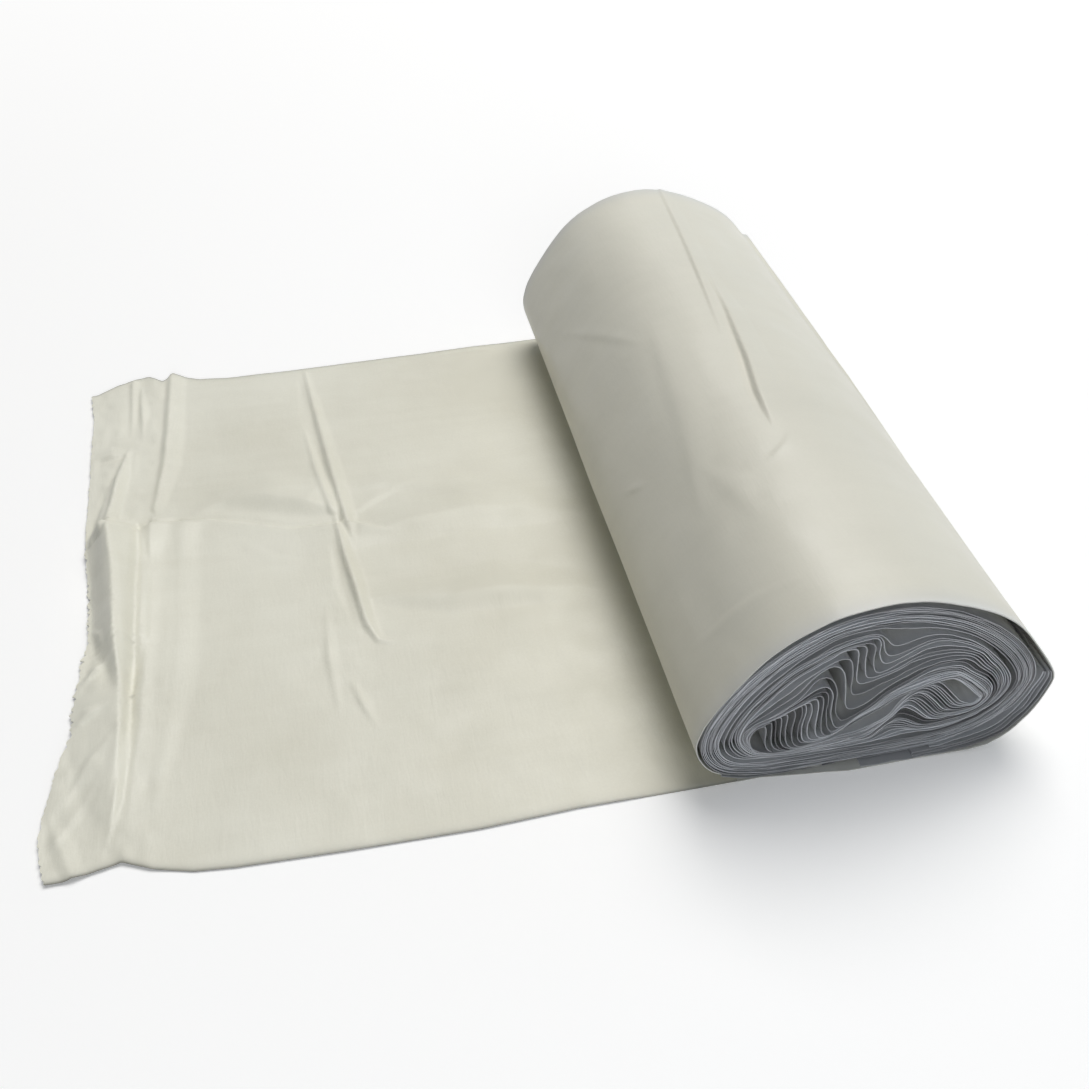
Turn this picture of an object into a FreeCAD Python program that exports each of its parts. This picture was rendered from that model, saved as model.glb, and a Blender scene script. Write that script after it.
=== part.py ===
import FreeCAD
import Part

import math
import os

# A coreless roll of bin bags lying on its side. The bags are one web of folded film joined at
# rows of perforations, so the roll and the bag pulled out of it are one piece. The web is built
# in the order it is wound: the flat bag on the floor runs under the roll, becomes the loose
# outermost turn, then the firm outer band, then the collapsed middle where every turn buckles.
# Millimetres. X runs across the roll, Y along it and Z up. The origin is on the floor under the
# middle of the roll, and the flat bag lies towards -X.

# Driving dimensions of the web
bag_width = 330.0          # width of the folded bag, which is the length of the roll
web_thickness = 0.70       # folded plies of one bag, with the air between them
turn_gap = 0.40            # least air between two turns
loose_turn_gap = 0.85      # air between the loose outermost turn and the firm roll, at the top

# Driving dimensions of the section of the roll
left_half_width = 66.5     # from the middle of the roll to its left side
right_half_width = 77.5    # from the middle of the roll to the fold of the loose turn
roll_height = 88.6
loose_fold_height = 34.0   # height of the soft fold in the loose turn
band_thickness = 7.8       # firm outer band, measured inwards from the first tight turn
band_gap = 1.9             # air under the band, where the middle has shrunk away
notch_depth = 4.0          # how far the turn under the band sinks over the upper buckle
floor_contact = 22.0       # from the middle of the roll to where the web leaves the floor

# Turns wound between one drawn outline and the next
turns_to_first_buckle = 2
turns_to_middle_buckle = 4
turns_to_last_buckle = 3
past_last_turn = 8         # landmarks from the last full turn to the inner end of the web

# Driving dimensions of the bag that lies on the floor
bag_reach = 309.0          # from the middle of the roll to the torn end
bag_joint = 75.0           # from the middle of the roll to where the bag starts to crease
tooth_pitch = 3.6          # one cut and one bridge of the torn perforation
tooth_depth = 1.4
least_inset = 0.1          # how far even the tips stay inside the torn line
folds_along = 16           # facets from the near edge of the bag to the far edge

# How closely the arcs and chords of the section follow the wound line
arc_accuracy = 0.05
chord_accuracy = 0.09
steps_between = 6          # steps along the wound line from one landmark to the next
longest_piece = 40         # most steps that one arc or chord spans
past_the_cut = 5.0         # how far a cut reaches beyond what it takes away

# The outlines and crease lines below are drawn once and stretched to the driving dimensions.
# Each pair is a drawn span, from its low end to its high end.
drawn_sides = (-66.15, 77.15)        # middle of the loose turn, left and right
drawn_fold_rise = (0.35, 34.0)       # from the floor to the soft fold of the loose turn
drawn_right_side = (34.0, 88.25)     # from that fold to the crest
drawn_left_side = (1.45, 88.25)      # from under the roll to the crest
drawn_tight_turn = (0.0, 84.7)       # lowest and highest point of the first tight turn
drawn_room_across = (-53.4, 59.3)    # room inside the band
drawn_room_upwards = (10.6, 74.1)
drawn_bag = (0.0, 234.0)             # from the joint of the bag to its torn end
drawn_edges = (-165.0, 165.0)        # folded edges of the bag

# Outlines of single turns, from the outside in. Z is measured from the lowest tight turn. Each
# is a closed loop of the same twenty landmarks: along the bottom, down the lower buckle, round
# the right side, over the top, down the upper buckle, over the left shoulder and down the left.
tight_turn = [
    (0, 0), (12, 0), (23, 0.2), (34, 0.9), (46, 3.4),
    (57.5, 9.3), (66.5, 19), (70, 31.5), (65.5, 45.4), (53, 60.5),
    (37, 73), (20, 81), (8, 84), (-3, 84.7), (-17, 82.6),
    (-34, 74.2), (-51.5, 57), (-64, 29.4), (-58.5, 10.8), (-41, 1.8),
]
first_buckled_turn = [
    (-1, 13.6), (6, 15.2), (12.5, 19), (23, 15.6), (34, 14.4),
    (45.6, 17.2), (52.8, 22.4), (55.8, 30.2), (52.4, 40), (43, 51),
    (31, 59.5), (18, 60.8), (7, 58.5), (-2, 67.5), (-17, 66.5),
    (-28, 61), (-39.6, 48.6), (-49.6, 30), (-46.2, 19), (-35, 14.6),
]
middle_buckled_turn = [
    (-2, 20.3), (8, 24.4), (17.5, 31.3), (27, 21.5), (34.5, 19.4),
    (42.2, 20.7), (48.1, 23.9), (50.4, 29), (47, 35.6), (39, 42.6),
    (29, 48.2), (10, 45.5), (-8, 36.5), (-12.5, 53), (-20, 51.5),
    (-27.6, 48.4), (-35.6, 41.8), (-44.8, 29.4), (-41.8, 22), (-32, 18.9),
]
last_buckled_turn = [
    (-1, 25.8), (10, 31.2), (25.4, 40), (35.4, 29), (38, 26),
    (41.2, 24.9), (44.6, 25.9), (45.9, 28.6), (42.8, 32.6), (37, 37.6),
    (29, 42.6), (9, 38), (-18, 26.6), (-23.6, 39.2), (-27.4, 39),
    (-31.4, 37.4), (-35.6, 34.6), (-40.4, 29), (-37.6, 25.2), (-30, 22.9),
]

# The loose outermost turn, from where it leaves the floor to where it slips under the roll
loose_turn_rise = [(36, 0.45), (50, 1.3), (60, 4.2), (69, 13), (74, 22), (76.7, 30), (77.15, 34)]
loose_turn_right = [
    (75.2, 39.6), (69.6, 47.8), (64, 55.2), (53.6, 66.6), (37, 77.7), (19, 85.4), (1, 88.25),
]
loose_turn_left = [
    (-20, 85.6), (-40, 73.7), (-56.6, 51.8), (-66.1, 29.5), (-62.6, 14.6), (-54, 6.2),
    (-43, 2.6), (-26, 1.6),
]

# Crease lines of the bag on the floor, from the roll to the torn end. Each runs from the near
# edge to the far edge: distance from the joint of the bag, y, and height of its underside.
crease_lines = [
    [(29, -165, 0), (29, -45, 0.8), (29, 20, 0.2), (29, 165.5, 0)],
    [(67, -165.5, 0), (67, -90, 0), (67, -50, 2.6), (67, -16, 0), (67, 20, 3.4),
     (67, 70, 0), (67, 164, 0)],
    [(100, -165.5, 0), (101, -58, 0.3), (103, 10, 1.0), (108, 75, 0.2), (114, 162.5, 0)],
    [(105, -165.3, 0), (106, -90, 0.2), (107, -50, 3.0), (110, 20, 2.8), (115, 85, 2.6),
     (121, 162, 0.9)],
    [(115, -165, 0), (117, -58, 0.2), (119, 20, 0.9), (123, 85, 0.2), (128, 162, 0)],
    [(161, -163.5, 0), (161, -60, 0.2), (162, 14, 0.2), (163, 38, 4.0), (163, 70, 0.4),
     (163, 162, 0)],
    [(189, -159, 0.3), (187, -60, 2.2), (186, 10, 2.0), (186, 42, 3.8), (183, 90, 0.9),
     (180, 164, 0.8)],
    [(207, -154, 2.2), (210, -90, 0), (207, -20, 0), (206, 40, 0.7), (198, 80, 0.2),
     (196, 120, 0.2), (195, 166, 0.4)],
    [(221, -155, 4.6), (216, -100, 4.4), (214, -50, 6.0), (220, 20, 7.6), (222, 45, 2.2),
     (217, 75, 6.0), (211, 120, 4.4), (211, 170.5, 3.2)],
    [(234, -157, 2.6), (238, -140, 1.0), (227, -95, 0.5), (226, -40, 1.8), (231, 10, 0.5),
     (233, 60, 0.9), (234, 115, 1.6), (236, 161.5, 2.0)],
]

pitch = web_thickness + turn_gap
half_web = web_thickness / 2
lowest_turn = half_web + pitch
crest = roll_height - half_web
sides = (half_web - left_half_width, right_half_width - half_web)


def stretched(value, drawn_span, span):
    # A value keeps its share of the way from the low end of its span to the high end
    share = (value - drawn_span[0]) / (drawn_span[1] - drawn_span[0])
    return span[0] + share * (span[1] - span[0])


def aside(x):
    # The two halves of the roll are stretched to their own half widths
    side = 1 if x > 0 else 0
    return x * sides[side] / drawn_sides[side]


def placed(outline, drawn_span, span):
    # Each half takes its own half width, and heights keep their share of the span
    return [FreeCAD.Vector(aside(x), 0, stretched(z, drawn_span, span)) for x, z in outline]


def moved_inwards(outline, distances):
    # Each landmark moves square to the line through its two neighbours
    moved = []
    for k, point in enumerate(outline):
        along = outline[(k + 1) % len(outline)] - outline[k - 1]
        inwards = FreeCAD.Vector(-along.z, 0, along.x).normalize()
        moved.append(point + inwards * distances[k])
    return moved


def curve_through(points, **ends):
    # Parameters grow with the square root of each step, which keeps sharp folds from swinging
    parameters = [0.0]
    for before, after in zip(points, points[1:]):
        parameters.append(parameters[-1] + math.sqrt(before.distanceToPoint(after)))
    curve = Part.BSplineCurve()
    curve.interpolate(Points=points, Parameters=parameters, **ends)
    return curve, parameters


# The levels of the winding: how many turns lie outside each outline
outer = placed(tight_turn, drawn_tight_turn, (lowest_turn, crest - web_thickness - loose_turn_gap))
landmarks = len(outer)
band_turns = int(band_thickness / pitch)
band_inside = moved_inwards(outer, [band_turns * pitch] * landmarks)
room = moved_inwards(outer, [(band_turns + 1) * pitch + band_gap] * landmarks)
sink = [0.0] * landmarks
sink[11], sink[12], sink[13] = 0.5 * notch_depth, notch_depth, 0.3 * notch_depth
sink[1], sink[2] = 0.2 * notch_depth, 0.3 * notch_depth
under_band = moved_inwards(outer, [(band_turns + 1) * pitch + band_gap + s for s in sink])
levels = [(0, outer), (band_turns, band_inside), (band_turns + 1, under_band)]

# The buckled turns are stretched to the room inside the band
room_across = (min(point.x for point in room), max(point.x for point in room))
room_upwards = (min(point.z for point in room), max(point.z for point in room))
for turns, outline in [
    (turns_to_first_buckle, first_buckled_turn),
    (turns_to_middle_buckle, middle_buckled_turn),
    (turns_to_last_buckle, last_buckled_turn),
]:
    buckled = [FreeCAD.Vector(stretched(x, drawn_room_across, room_across), 0,
                              stretched(z, drawn_room_upwards, room_upwards))
               for x, z in outline]
    levels.append((levels[-1][0] + turns, buckled))


def landmark_at(step):
    # The web sinks one turn deeper each time it passes all the landmarks
    depth = step / landmarks
    k = step % landmarks
    for (above, outside), (below, inside) in zip(levels, levels[1:]):
        if depth <= below:
            break
    part = (depth - above) / (below - above)
    return outside[k] * (1 - part) + inside[k] * part


# Middle line of the web, from where it leaves the floor to its inner end
middle = [FreeCAD.Vector(floor_contact, 0, half_web)]
middle += placed(loose_turn_rise, drawn_fold_rise, (half_web, loose_fold_height))
middle += placed(loose_turn_right, drawn_right_side, (loose_fold_height, crest))
middle += placed(loose_turn_left, drawn_left_side, (lowest_turn, crest))
shown_landmarks = len(middle) + landmarks
last_step = levels[-1][0] * landmarks + past_last_turn
middle += [landmark_at(step) for step in range(last_step + 1)]
middle_curve, stations = curve_through(middle, InitialTangent=FreeCAD.Vector(1, 0, 0))

# Both faces of the web, half its thickness to either side of the middle line
outside_points = []
inside_points = []
for before, after in zip(stations, stations[1:]):
    for part in range(steps_between):
        station = before + (after - before) * part / steps_between
        point = middle_curve.value(station)
        along = middle_curve.tangent(station)[0]
        square = FreeCAD.Vector(-along.z, 0, along.x) * half_web
        outside_points.append(point - square)
        inside_points.append(point + square)
shown_points = steps_between * shown_landmarks


def arc_through(first, second, third):
    # Centre and radius of the arc through three points, or None where they lie on one line
    ax, az = second.x - first.x, second.z - first.z
    bx, bz = third.x - first.x, third.z - first.z
    area = 2 * (ax * bz - az * bx)
    if abs(area) < 1e-6:
        return None
    a, b = ax * ax + az * az, bx * bx + bz * bz
    centre = first + FreeCAD.Vector((bz * a - az * b) / area, 0, (ax * b - bx * a) / area)
    return centre, centre.distanceToPoint(second)


def arc_follows(points, start, stop):
    arc = arc_through(points[start], points[(start + stop) // 2], points[stop])
    if arc is None:
        return True
    centre, radius = arc
    gaps = [abs(centre.distanceToPoint(point) - radius) for point in points[start:stop + 1]]
    return max(gaps) < arc_accuracy


def chord_follows(points, start, stop):
    first, along = points[start], points[stop] - points[start]
    gaps = [abs(along.x * (point.z - first.z) - along.z * (point.x - first.x))
            for point in points[start:stop + 1]]
    return max(gaps) < chord_accuracy * along.Length


def shared_cuts(follows, first, last):
    # Each piece reaches as far as it can while both faces of the web follow it. The faces are
    # cut at the same stations, so their pieces stay side by side in the tightest folds.
    cuts = [first]
    while cuts[-1] < last:
        stop = min(cuts[-1] + 2, last)
        while stop < min(cuts[-1] + longest_piece, last):
            if not all(follows(face, cuts[-1], stop + 1) for face in (outside_points, inside_points)):
                break
            stop += 1
        cuts.append(stop)
    return cuts


# Arcs where the web shows from outside, short chords where only its edge shows
arc_cuts = shared_cuts(arc_follows, 0, shown_points - 1)
chord_cuts = shared_cuts(chord_follows, shown_points - 1, len(outside_points) - 1)


def side_of_web(points):
    edges = []
    for start, stop in zip(arc_cuts, arc_cuts[1:]):
        ends = points[start], points[(start + stop) // 2], points[stop]
        if stop - start < 2 or arc_through(*ends) is None:
            edges.append(Part.makeLine(ends[0], ends[2]))
        else:
            edges.append(Part.Arc(*ends).toShape())
    for start, stop in zip(chord_cuts, chord_cuts[1:]):
        edges.append(Part.makeLine(points[start], points[stop]))
    return edges


def corner(x, z):
    return FreeCAD.Vector(x, 0, z)


# The wound web as one flat section, drawn out along the roll
floor_under = Part.makeLine(corner(-bag_joint, 0), outside_points[0])
floor_top = Part.makeLine(corner(-bag_joint, web_thickness), inside_points[0])
joint_edge = Part.makeLine(corner(-bag_joint, 0), corner(-bag_joint, web_thickness))
inner_end = Part.makeLine(outside_points[-1], inside_points[-1])
outside_edges = side_of_web(outside_points)
inside_edges = side_of_web(inside_points)
ring = [joint_edge, floor_under] + outside_edges + [inner_end] + inside_edges + [floor_top]
section = Part.Face(Part.Wire(Part.__sortEdges__(ring)))
section.translate(FreeCAD.Vector(0, -bag_width / 2, 0))
wound_web = section.extrude(FreeCAD.Vector(0, bag_width, 0))

# The bag on the floor: flat facets of film between its crease lines
folded_edges = (-bag_width / 2, bag_width / 2)
lines = [[FreeCAD.Vector(-bag_joint, y, 0) for y in folded_edges]]
for line in crease_lines:
    lines.append([])
    for away, y, z in line:
        x = -bag_joint - stretched(away, drawn_bag, (0, bag_reach - bag_joint))
        lines[-1].append(FreeCAD.Vector(x, stretched(y, drawn_edges, folded_edges), z))


def crease(points):
    # The drawn points pull the line towards them, so it never dips below the lowest of them
    curve = Part.BSplineCurve()
    curve.buildFromPoles(points, False, min(2, len(points) - 1))
    return curve.toShape().discretize(folds_along + 1)


def facet(*points):
    return Part.Face(Part.makePolygon(list(points) + [points[0]]))


up = FreeCAD.Vector(0, 0, web_thickness)
creases = [crease(points) for points in lines]
skin = []
for first, second in zip(creases, creases[1:]):
    for k in range(folds_along):
        corners = first[k], second[k], second[k + 1], first[k + 1]
        for lift in (FreeCAD.Vector(0, 0, 0), up):
            a, b, c, d = [point + lift for point in corners]
            skin += [facet(a, b, c), facet(a, c, d)]
    for k in (0, folds_along):
        skin.append(facet(first[k], second[k], second[k] + up, first[k] + up))
for line in (creases[0], creases[-1]):
    for start, stop in zip(line, line[1:]):
        skin.append(facet(start, stop, stop + up))
        skin.append(facet(start, stop + up, start + up))
shell = Part.makeShell(skin)
shell.sewShape()
flat_bag = Part.makeSolid(Part.Shell(shell.Faces))
if flat_bag.Volume < 0:
    flat_bag.reverse()

# The torn perforation: a zigzag that follows the end of the bag
teeth = int(bag_width / tooth_pitch)
zigzag = []
torn_line = Part.makePolygon(creases[-1]).discretize(2 * teeth + 1)
for step, point in enumerate(torn_line):
    inset = tooth_depth if step % 2 else least_inset
    zigzag.append(FreeCAD.Vector(point.x + inset, point.y, -past_the_cut))
near_end, far_end = zigzag[0], zigzag[-1]
beyond = min(point.x for point in torn_line) - past_the_cut
ring = [FreeCAD.Vector(beyond, near_end.y - past_the_cut, -past_the_cut)]
ring.append(near_end - FreeCAD.Vector(0, past_the_cut, 0))
ring += zigzag
ring.append(far_end + FreeCAD.Vector(0, past_the_cut, 0))
ring.append(FreeCAD.Vector(beyond, far_end.y + past_the_cut, -past_the_cut))
ring.append(ring[0])
highest = max(point.z for line in creases for point in line) + web_thickness
torn_off = Part.Face(Part.makePolygon(ring)).extrude(up * ((highest + 2 * past_the_cut) / up.z))
flat_bag = flat_bag.cut(torn_off)

bag_roll = wound_web.fuse(flat_bag).Solids[0]

os.makedirs("parts", exist_ok=True)
bag_roll.exportStep("parts/bag_roll.step")
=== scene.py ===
"""Looks of a coreless roll of film bags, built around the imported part.

The film is one web. It lies flat on the floor as the leading bag, runs under the roll, goes once
round it as the loose outermost turn, and is then wound through a firm band into a collapsed
middle. Five closed meshes show it: the leading bag, the loose outer turn, the plies inside it,
the firm band and the collapsed core.
Tables are in millimetres and meshes in metres. X runs across the roll, Y along it and Z up.
"""

import logging
import math
from dataclasses import dataclass, replace
from enum import Enum
from typing import Sequence

import bpy
import numpy as np
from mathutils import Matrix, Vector

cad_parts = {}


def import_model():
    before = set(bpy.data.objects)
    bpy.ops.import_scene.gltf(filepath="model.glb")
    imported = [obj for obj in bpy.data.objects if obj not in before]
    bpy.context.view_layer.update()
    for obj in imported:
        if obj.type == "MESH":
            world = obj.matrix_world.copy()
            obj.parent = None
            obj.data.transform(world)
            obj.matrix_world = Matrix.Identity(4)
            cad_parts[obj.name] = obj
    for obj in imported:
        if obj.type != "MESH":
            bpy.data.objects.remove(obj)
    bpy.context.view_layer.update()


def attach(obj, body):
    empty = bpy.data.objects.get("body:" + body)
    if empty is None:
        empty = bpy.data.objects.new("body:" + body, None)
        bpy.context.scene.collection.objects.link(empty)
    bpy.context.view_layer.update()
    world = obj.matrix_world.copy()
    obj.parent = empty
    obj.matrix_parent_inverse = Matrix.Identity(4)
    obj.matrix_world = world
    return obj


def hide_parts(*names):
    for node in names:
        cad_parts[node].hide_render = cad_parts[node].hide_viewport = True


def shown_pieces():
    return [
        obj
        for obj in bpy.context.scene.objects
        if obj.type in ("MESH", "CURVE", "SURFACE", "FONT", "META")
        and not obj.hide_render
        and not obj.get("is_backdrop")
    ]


LOG = logging.getLogger("bag_roll")
Points = Sequence[tuple[float, ...]]
Colour = tuple[float, float, float]
Socket = bpy.types.NodeSocket

MM = 0.001
HALF_WIDTH = 165.0
WHITE = (1.0, 1.0, 1.0)
# Rows and columns of random values that smooth noise repeats
LATTICE = (97, 89)
# Samples from which graded places are picked
FINE_SAMPLES = 4000
# Share of a fold's flank that is left where the fold runs out
LEAST_FLANK = 0.25
# How sharply the raggedness of the film's edges fades into the roll
END_POWER = 8


class PieceName(Enum):
    """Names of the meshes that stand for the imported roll."""

    LEADING_BAG = "leading_bag"
    OUTER_TURN = "outer_turn"
    LOOSE_PLIES = "loose_plies"
    FIRM_BAND = "firm_band"
    CORE = "core"


class Level(Enum):
    """How many turns lie outside each drawn outline of the winding."""

    TIGHT = 0
    BAND_INSIDE = 12
    UNDER_BAND = 13
    UPPER_FAN = 16
    UPPER_FAN_END = 19
    PALE_FOLD = 21
    LOWER_FAN = 24
    LOWER_FAN_HALF = 28
    INMOST = 35


# Outlines of single turns: closed loops of the same twenty landmarks, along the bottom, down
# the lower buckle, round the right side, over the top, down the upper buckle and down the left.
TIGHT_TURN = (
    (0, 1.3), (12, 1.3), (23, 1.5), (34, 2.2), (46, 4.7),
    (57.5, 10.6), (66.5, 20.3), (70.6, 32.8), (66.2, 46.7), (53.8, 61.8),
    (37.6, 74.6), (20, 83.2), (8, 86.2), (-3, 86.9), (-18, 85),
    (-35.5, 76), (-53, 58.6), (-65.4, 30.7), (-60, 12.1), (-42, 3.1),
)
UPPER_FAN_TURN = (
    (-1, 12.6), (6, 13.8), (12.5, 18.5), (23, 15.6), (34, 14.4),
    (46, 17.6), (53.6, 23), (57, 31.2), (53.6, 41.6), (44, 52.8),
    (31, 61), (17, 62), (2.3, 55), (-2.5, 70.2), (-17, 69),
    (-28.6, 62.8), (-41, 50), (-51, 31), (-47.6, 19), (-35, 13.4),
)
UPPER_FAN_END_TURN = (
    (-1, 14), (6.5, 15.6), (13.6, 22), (24, 17.4), (34.4, 16),
    (45.4, 19), (52.6, 23.6), (55.8, 31), (52.2, 40), (43, 50),
    (30, 56.4), (11.5, 53.6), (-6.5, 49), (-10, 66.6), (-18.6, 65.4),
    (-28.8, 58.6), (-40.4, 46.6), (-50, 31), (-46.8, 19.8), (-34.4, 14),
)
PALE_FOLD_TURN = (
    (-1, 15.2), (7, 17.6), (15, 26.5), (25.4, 19.6), (35, 17.6),
    (44.8, 20), (51.6, 24.2), (54.6, 30.6), (50.8, 38), (41.8, 46.8),
    (29, 52.4), (9, 42), (-7.5, 29.6), (-14, 51), (-19.8, 58),
    (-26.4, 49), (-36.6, 40), (-48.8, 30.6), (-46, 20.4), (-34, 14.5),
)
LOWER_FAN_TURN = (
    (-2, 16.8), (7.6, 20.6), (18, 33), (28, 22.4), (36, 19.6),
    (44, 21.4), (50.2, 24.8), (53, 29.8), (48.6, 35.6), (38, 44.4),
    (24, 48), (5, 35), (-14.5, 21.8), (-18.2, 45), (-23, 44.6),
    (-29.4, 41), (-37.8, 37), (-47.8, 29.8), (-45.4, 21), (-33.6, 15),
)
LOWER_FAN_HALF_TURN = (
    (-3, 18), (8.4, 23), (20.6, 36.6), (31, 25), (37.6, 21.6),
    (44.2, 22.6), (49.2, 25), (51.4, 29), (47, 34), (35, 43.6),
    (15, 39.6), (-9, 22.6), (-23, 19.8), (-25.8, 40.4), (-29, 40),
    (-34, 38), (-40.6, 34.8), (-47.2, 28.8), (-45.2, 21.2), (-34, 15.5),
)
INMOST_TURN = (
    (-4, 19.4), (10, 27.6), (24.6, 42), (38, 28.6), (41.6, 25.9),
    (45.4, 25), (47.6, 26), (48.6, 28), (44.8, 31.6), (33, 41.6),
    (13, 35.4), (-11, 20.6), (-37, 16.6), (-40.4, 33), (-41.6, 33.2),
    (-43, 32.4), (-44.6, 30.4), (-46, 27.2), (-45, 21.6), (-40, 16.2),
)

# The loose outermost turn, from where it leaves the floor to where it slips under the roll
LOOSE_TURN = (
    (-47, 0.3), (-30, 0.3), (-10, 0.3), (10, 0.32), (24, 0.4), (37, 0.7), (50, 1.5), (60, 4.4),
    (69, 13), (74, 22), (76.6, 30), (77.1, 34.4), (75, 39.8), (69.6, 47.8), (64, 55.2),
    (53.6, 66.8), (37, 77.9), (19, 85.5), (1, 88.25), (-20, 85.6), (-40, 73.7), (-56.6, 51.8),
    (-66.1, 29.5), (-62.8, 14.6), (-54.4, 6.4), (-43, 2.6), (-26, 1.2), (-12, 0.95),
)

# Distance along the loose turn, and how far its near edge stands out there
LOOSE_STAND_OUT = ((10, 0.0), (45, 4.5), (95, 5.0), (125, 4.0), (150, 1.5), (165, 0.0))
# Distance along the loose turn, and how far apart the plies inside it lie there
LOOSE_PLY_GAPS = ((50, 0.31), (72, 0.34), (84, 0.44), (100, 0.92), (135, 0.95), (147, 0.6))
# Where each of these plies starts and ends along the loose turn, laid forth and back
LOOSE_PLY_ENDS = ((50, 147), (147, 72), (72, 145), (145, 80))


def smooth_step(value: np.ndarray) -> np.ndarray:
    """Ease from 0 to 1: three times the square less twice the cube.

    Args:
        value: numbers to ease, clipped to 0..1 first.

    Returns:
        The eased numbers.
    """
    t = np.clip(value, 0.0, 1.0)
    return t * t * (3.0 - 2.0 * t)


def lattice_noise(a: np.ndarray, b: np.ndarray, cell: tuple[float, float], seed: int) -> np.ndarray:
    """Smooth noise from -1 to 1: random values on a lattice, eased from each to the next.

    Args:
        a: first coordinate, millimetres.
        b: second coordinate, millimetres.
        cell: lattice spacing along each coordinate.
        seed: which lattice.

    Returns:
        Noise of the shape of a and b broadcast together.
    """
    values = np.random.default_rng(seed).uniform(-1.0, 1.0, LATTICE)
    u, v = np.broadcast_arrays(a / cell[0], b / cell[1])
    i, j = np.floor(u).astype(int), np.floor(v).astype(int)
    fu, fv = smooth_step(u - i), smooth_step(v - j)
    left, right = i % LATTICE[0], (i + 1) % LATTICE[0]
    under, over = j % LATTICE[1], (j + 1) % LATTICE[1]
    low = values[left, under] * (1 - fu) + values[right, under] * fu
    high = values[left, over] * (1 - fu) + values[right, over] * fu
    return low * (1 - fv) + high * fv


def natural_spline(points: np.ndarray, samples: int) -> np.ndarray:
    """Smooth line through points: cubics with continuous bend, knots a root of each step apart.

    Args:
        points: n by 2 array.
        samples: samples from each point to the next.

    Returns:
        Array of (n - 1) * samples + 1 points on the line.
    """
    steps = np.sqrt(np.linalg.norm(np.diff(points, axis=0), axis=1))
    knots = np.concatenate([[0.0], np.cumsum(steps)])
    n = len(points)
    system = np.zeros((n, n))
    right = np.zeros((n, 2))
    system[0, 0] = system[-1, -1] = 1.0
    inner = np.arange(1, n - 1)
    system[inner, inner - 1] = steps[:-1]
    system[inner, inner] = 2.0 * (steps[:-1] + steps[1:])
    system[inner, inner + 1] = steps[1:]
    slopes = np.diff(points, axis=0) / steps[:, None]
    right[inner] = 6.0 * np.diff(slopes, axis=0)
    bends = np.linalg.solve(system, right)
    fraction = np.tile(np.arange(samples) / samples, n - 1)
    k = np.repeat(np.arange(n - 1), samples)
    t = np.concatenate([knots[k] + fraction * steps[k], knots[-1:]])
    k = np.concatenate([k, [n - 2]])
    h, before, after = steps[k][:, None], (knots[k + 1] - t)[:, None], (t - knots[k])[:, None]
    curve = bends[k] * before**3 + bends[k + 1] * after**3
    line = (points[k] / h - bends[k] * h / 6.0) * before
    line = line + (points[k + 1] / h - bends[k + 1] * h / 6.0) * after
    return curve / (6.0 * h) + line


def normals_of(line: np.ndarray) -> np.ndarray:
    """Unit vectors square to a line, on its left as it runs.

    Args:
        line: n by 2 array.

    Returns:
        n by 2 array of unit vectors.
    """
    along = np.gradient(line, axis=0)
    along /= np.linalg.norm(along, axis=1)[:, None]
    return np.stack([-along[:, 1], along[:, 0]], axis=1)


def length_along(line: np.ndarray) -> np.ndarray:
    """Distance from the first point of a line to each of its points.

    Args:
        line: n by 2 array.

    Returns:
        n lengths, starting at 0.
    """
    return np.concatenate([[0.0], np.cumsum(np.linalg.norm(np.diff(line, axis=0), axis=1))])


def graded_places(spacing: Points) -> np.ndarray:
    """Places along a line, with steps that follow a stated spacing.

    Args:
        spacing: (place, step) points, with places that only rise or only fall.

    Returns:
        Places from the first stated one to the last.
    """
    knots = np.array(spacing, float)
    fine = np.linspace(knots[0, 0], knots[-1, 0], FINE_SAMPLES)
    order = np.argsort(knots[:, 0])
    density = 1.0 / np.interp(fine, knots[order, 0], knots[order, 1])
    rank = np.concatenate([[0.0], np.cumsum(0.5 * (density[1:] + density[:-1]))])
    count = int(rank[-1] * abs(fine[1] - fine[0]))
    return np.interp(np.linspace(0.0, rank[-1], count), rank, fine)


@dataclass(frozen=True)
class Fold:
    """One crease, pleat or soft wave in a sheet of film.

    Attributes:
        path: (a, b, height) points in the plane of the sheet, millimetres.
        left: width of the flank on the left of the path as it runs.
        right: width of the flank on the right.
        soft: 0 for a sharp top, 1 for a rounded one.
    """

    path: Points
    left: float
    right: float
    soft: float = 0.0

    def height(self, a: np.ndarray, b: np.ndarray) -> np.ndarray:
        """Height of the fold: that of the nearest point of its path, falling to 0 over a flank.

        A flank narrows with the height, so that a fold runs out in a point.

        Args:
            a: first coordinate of each point of the sheet.
            b: second coordinate of each point.

        Returns:
            Height added at each point.
        """
        near = np.full(a.shape, np.inf)
        result = np.zeros(a.shape)
        peak = max(abs(point[2]) for point in self.path)
        for (a0, b0, h0), (a1, b1, h1) in zip(self.path, self.path[1:]):
            da, db = a1 - a0, b1 - b0
            t = np.clip(((a - a0) * da + (b - b0) * db) / (da * da + db * db), 0.0, 1.0)
            off_a, off_b = a - a0 - t * da, b - b0 - t * db
            distance = np.hypot(off_a, off_b)
            crest = h0 + t * (h1 - h0)
            flank = np.where(da * off_b - db * off_a > 0.0, self.left, self.right)
            flank = flank * (LEAST_FLANK + (1.0 - LEAST_FLANK) * np.abs(crest) / peak)
            level = np.clip(1.0 - distance / flank, 0.0, 1.0)
            level = level * (1.0 - self.soft) + smooth_step(level) * self.soft
            closer = distance < near
            near = np.where(closer, distance, near)
            result = np.where(closer, level * crest, result)
        return result


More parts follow.
